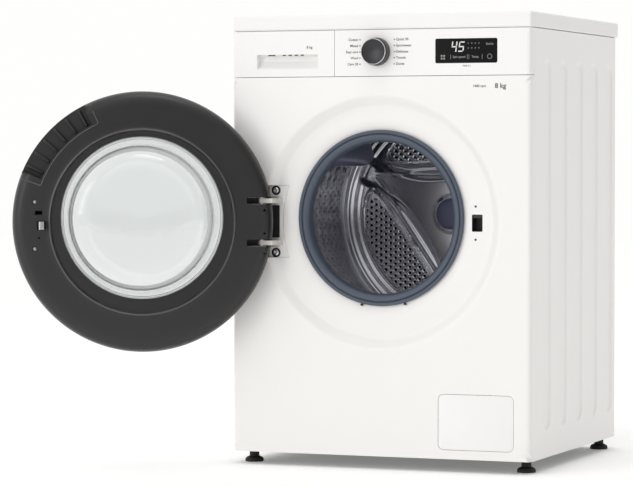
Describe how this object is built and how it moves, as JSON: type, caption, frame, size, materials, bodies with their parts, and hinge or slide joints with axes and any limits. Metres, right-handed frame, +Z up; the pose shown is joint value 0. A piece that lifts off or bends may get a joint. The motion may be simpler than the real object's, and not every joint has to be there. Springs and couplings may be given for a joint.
{
  "type": "front load washing machine",
  "caption": "Free-standing front loading washing machine with a round glazed door, detergent drawer, control panel, suspended tub, drum and direct drive motor.",
  "frame": {"origin": "bottom centre of the whole machine's bounding box with the door wide open, on the floor; the casing's own centre plane lies 0.185 m to +X of it and its front face 0.156 m to -Y", "axes": "+Z up, square to the worktop; +Y towards the back of the machine, -Y the side with the door; +X to the right as seen from the front, away from the door hinge"},
  "size_m": [0.9706, 0.844, 0.859],
  "materials": {
    "white_laminate": "white laminate on board",
    "white_enamel": "satin enamel",
    "white_plastic": "satin moulding",
    "black_plastic": "satin moulding",
    "grey_plastic": "plain moulding",
    "black_gloss": "gloss",
    "clear_glass": "clear pressed glass",
    "stainless": "polished stainless steel",
    "zinc_steel": "zinc-plated steel",
    "dark_steel": "dark lacquered steel",
    "cast_aluminium": "as cast",
    "cast_iron_weight": "painted casting",
    "gasket_rubber": "blue-grey rubber",
    "black_rubber": "black rubber",
    "circuit_board": "green board"
  },
  "bodies": {
    "casing": {"base_tray": "zinc_steel", "cabinet": "white_enamel", "rear_cover": "zinc_steel", "front_panel": "white_enamel", "top_brace": "zinc_steel", "worktop": "white_laminate", "control_panel": "white_plastic", "display_window": "black_gloss", "control_board": "circuit_board", "dispenser_housing": "grey_plastic", "inlet_valve": "grey_plastic", "fill_hose": "black_rubber", "dispenser_hose": "black_rubber", "pump_housing": "grey_plastic", "pump_motor": "dark_steel", "sump_hose": "black_rubber", "drain_hose": "black_rubber", "hinge_bracket": "cast_aluminium", "door_lock": "black_plastic", "gasket": "gasket_rubber", "spring_left": "zinc_steel", "spring_right": "zinc_steel"},
    "door": {"hinge_pin": "stainless", "hinge_plate": "cast_aluminium", "door_inner_frame": "black_plastic", "door_outer_frame": "black_plastic", "door_glass": "clear_glass", "window_cover": "clear_glass"},
    "hook": {"door_hook": "stainless"},
    "knob": {"programme_knob": "black_plastic", "knob_ring": "stainless"},
    "drawer": {"drawer_front": "white_plastic", "drawer_tray": "grey_plastic"},
    "flap": {"filter_flap": "white_plastic"},
    "cap": {"filter_cap": "white_plastic"},
    "impeller": {"pump_impeller": "black_plastic"},
    "foot_a": {"foot_1": "black_rubber"},
    "foot_b": {"foot_2": "black_rubber"},
    "foot_c": {"foot_3": "black_rubber"},
    "foot_d": {"foot_4": "black_rubber"},
    "tub": {"tub_front": "grey_plastic", "tub_rear": "grey_plastic", "heater": "stainless", "counterweight": "cast_iron_weight", "shaft_seal": "black_rubber", "stator": "black_plastic", "bearing_front": "stainless", "bearing_rear": "stainless"},
    "drum": {"drum_shell": "stainless", "drum_back": "stainless", "spider": "cast_aluminium", "drum_shaft": "stainless", "rotor": "zinc_steel", "lifter_1": "grey_plastic", "lifter_2": "grey_plastic", "lifter_3": "grey_plastic"},
    "left_damper_tube": {"damper_tube_left": "zinc_steel"},
    "left_damper_rod": {"damper_rod_left": "stainless"},
    "right_damper_tube": {"damper_tube_right": "zinc_steel"},
    "right_damper_rod": {"damper_rod_right": "stainless"}
  },
  "joints": [
    {"name": "door_hinge", "type": "hinge", "parent": "casing", "child": "door", "pos_m": [-0.0417, -0.18398, 0.466], "axis": [0, 0, 1], "range_deg": [0, 158]},
    {"name": "hook_pivot", "type": "hinge", "parent": "door", "child": "hook", "pos_m": [-0.42551, -0.34984, 0.4595], "axis": [0, 0, -1], "range_deg": [0, 9], "stiffness_Nm_per_rad": 0.06, "springref_deg": -5.73},
    {"name": "knob_turn", "type": "hinge", "parent": "casing", "child": "knob", "pos_m": [0.1813, -0.16698, 0.787], "axis": [0, -1, 0], "continuous": true},
    {"name": "drawer_slide", "type": "slide", "parent": "casing", "child": "drawer", "axis": [0, -1, 0], "range_m": [0, 0.2]},
    {"name": "flap_hinge", "type": "hinge", "parent": "casing", "child": "flap", "pos_m": [0.3778, -0.15598, 0.041], "axis": [1, 0, 0], "range_deg": [0, 95]},
    {"name": "cap_turn", "type": "hinge", "parent": "casing", "child": "cap", "pos_m": [0.3778, -0.13998, 0.0935], "axis": [0, -1, 0], "range_deg": [0, 90]},
    {"name": "impeller_spin", "type": "hinge", "parent": "casing", "child": "impeller", "pos_m": [0.3778, -0.04098, 0.0935], "axis": [0, -1, 0], "continuous": true},
    {"name": "tub_suspension", "type": "slide", "parent": "casing", "child": "tub", "axis": [0, 0, 1], "range_m": [-0.01, 0.01], "stiffness_N_per_m": 12000, "springref_m": 0.02463, "deforming": ["spring_left", "spring_right", "dispenser_hose", "sump_hose"]},
    {"name": "drum_spin", "type": "hinge", "parent": "tub", "child": "drum", "pos_m": [0.1853, 0.14402, 0.474], "axis": [0, -1, 0], "continuous": true},
    {"name": "foot_1_turn", "type": "hinge", "parent": "casing", "child": "foot_a", "pos_m": [-0.0907, -0.10598, 0.01], "axis": [0, 0, 1], "continuous": true},
    {"name": "foot_2_turn", "type": "hinge", "parent": "casing", "child": "foot_b", "pos_m": [0.4613, -0.10598, 0.01], "axis": [0, 0, 1], "continuous": true},
    {"name": "foot_3_turn", "type": "hinge", "parent": "casing", "child": "foot_c", "pos_m": [-0.0907, 0.37202, 0.01], "axis": [0, 0, 1], "continuous": true},
    {"name": "foot_4_turn", "type": "hinge", "parent": "casing", "child": "foot_d", "pos_m": [0.4613, 0.37202, 0.01], "axis": [0, 0, 1], "continuous": true},
    {"name": "left_damper_swing", "type": "hinge", "parent": "casing", "child": "left_damper_tube", "pos_m": [-0.03848, 0.12902, 0.062], "axis": [0, 1, 0], "range_deg": [-1.2, 1.2]},
    {"name": "left_damper_stroke", "type": "slide", "parent": "left_damper_tube", "child": "left_damper_rod", "axis": [0.309, 0, 0.9511], "range_m": [-0.0105, 0.0105]},
    {"name": "right_damper_swing", "type": "hinge", "parent": "casing", "child": "right_damper_tube", "pos_m": [0.40909, 0.12902, 0.062], "axis": [0, 1, 0], "range_deg": [-1.2, 1.2]},
    {"name": "right_damper_stroke", "type": "slide", "parent": "right_damper_tube", "child": "right_damper_rod", "axis": [-0.309, 0, 0.9511], "range_m": [-0.0105, 0.0105]}
  ],
  "couplings": [
    {"joint": "left_damper_swing", "follows": "tub_suspension", "rad_per_m": -1.5972},
    {"joint": "left_damper_stroke", "follows": "tub_suspension", "ratio": 0.95106},
    {"joint": "right_damper_swing", "follows": "tub_suspension", "rad_per_m": 1.5972},
    {"joint": "right_damper_stroke", "follows": "tub_suspension", "ratio": 0.95106}
  ]
}
